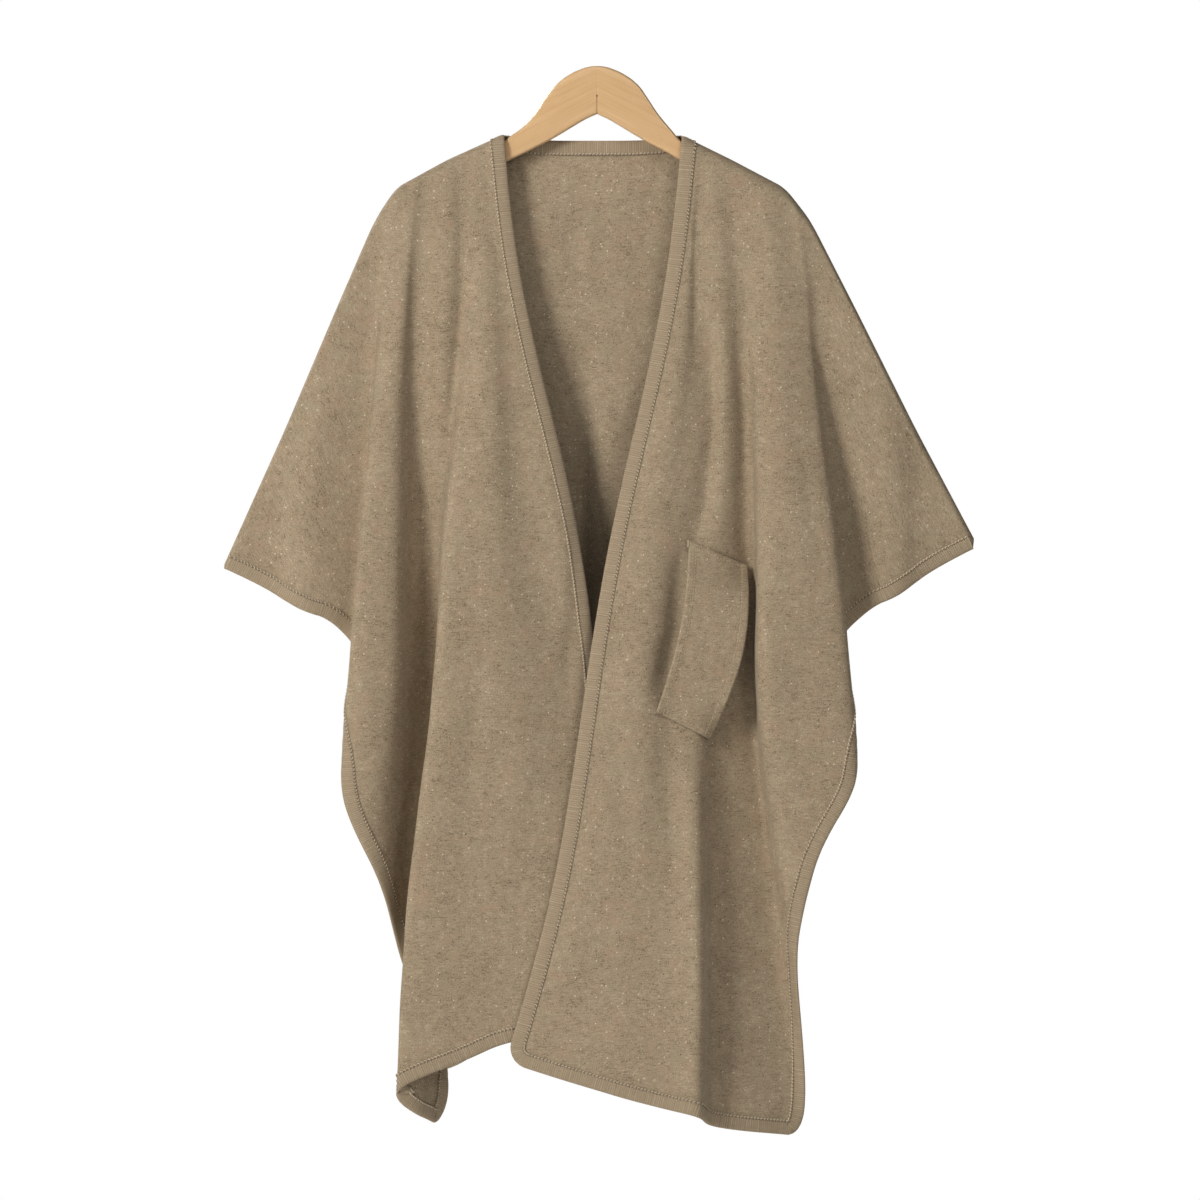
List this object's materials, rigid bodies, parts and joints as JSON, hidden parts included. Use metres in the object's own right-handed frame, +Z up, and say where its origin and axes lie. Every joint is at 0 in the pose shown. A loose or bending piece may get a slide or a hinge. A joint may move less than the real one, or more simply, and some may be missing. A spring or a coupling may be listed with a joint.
{
  "type": "poncho on a hanger",
  "caption": "Open-fronted wrap poncho of brushed wool felt with wide folded sleeves, bound edges and a pull-through loop, hanging on a wooden hanger.",
  "frame": {"origin": "mouth of the hook's socket, at the crown of the hanger", "axes": "+Z up, -Y out of the front of the garment, +X to the wearer's left"},
  "size_m": [0.752, 0.1252, 1.0695],
  "materials": {
    "wool_felt": "brushed, melange",
    "wool_braid": "corded",
    "beech": "satin varnish"
  },
  "bodies": {
    "root": {"back_panel": "wool_felt", "front_panel_right": "wool_felt", "front_panel_left": "wool_felt", "loop_strap": "wool_felt", "front_binding_right": "wool_braid", "front_binding_left": "wool_braid", "back_binding": "wool_braid", "neck_binding": "wool_braid", "hanger": "beech"}
  },
  "joints": []
}
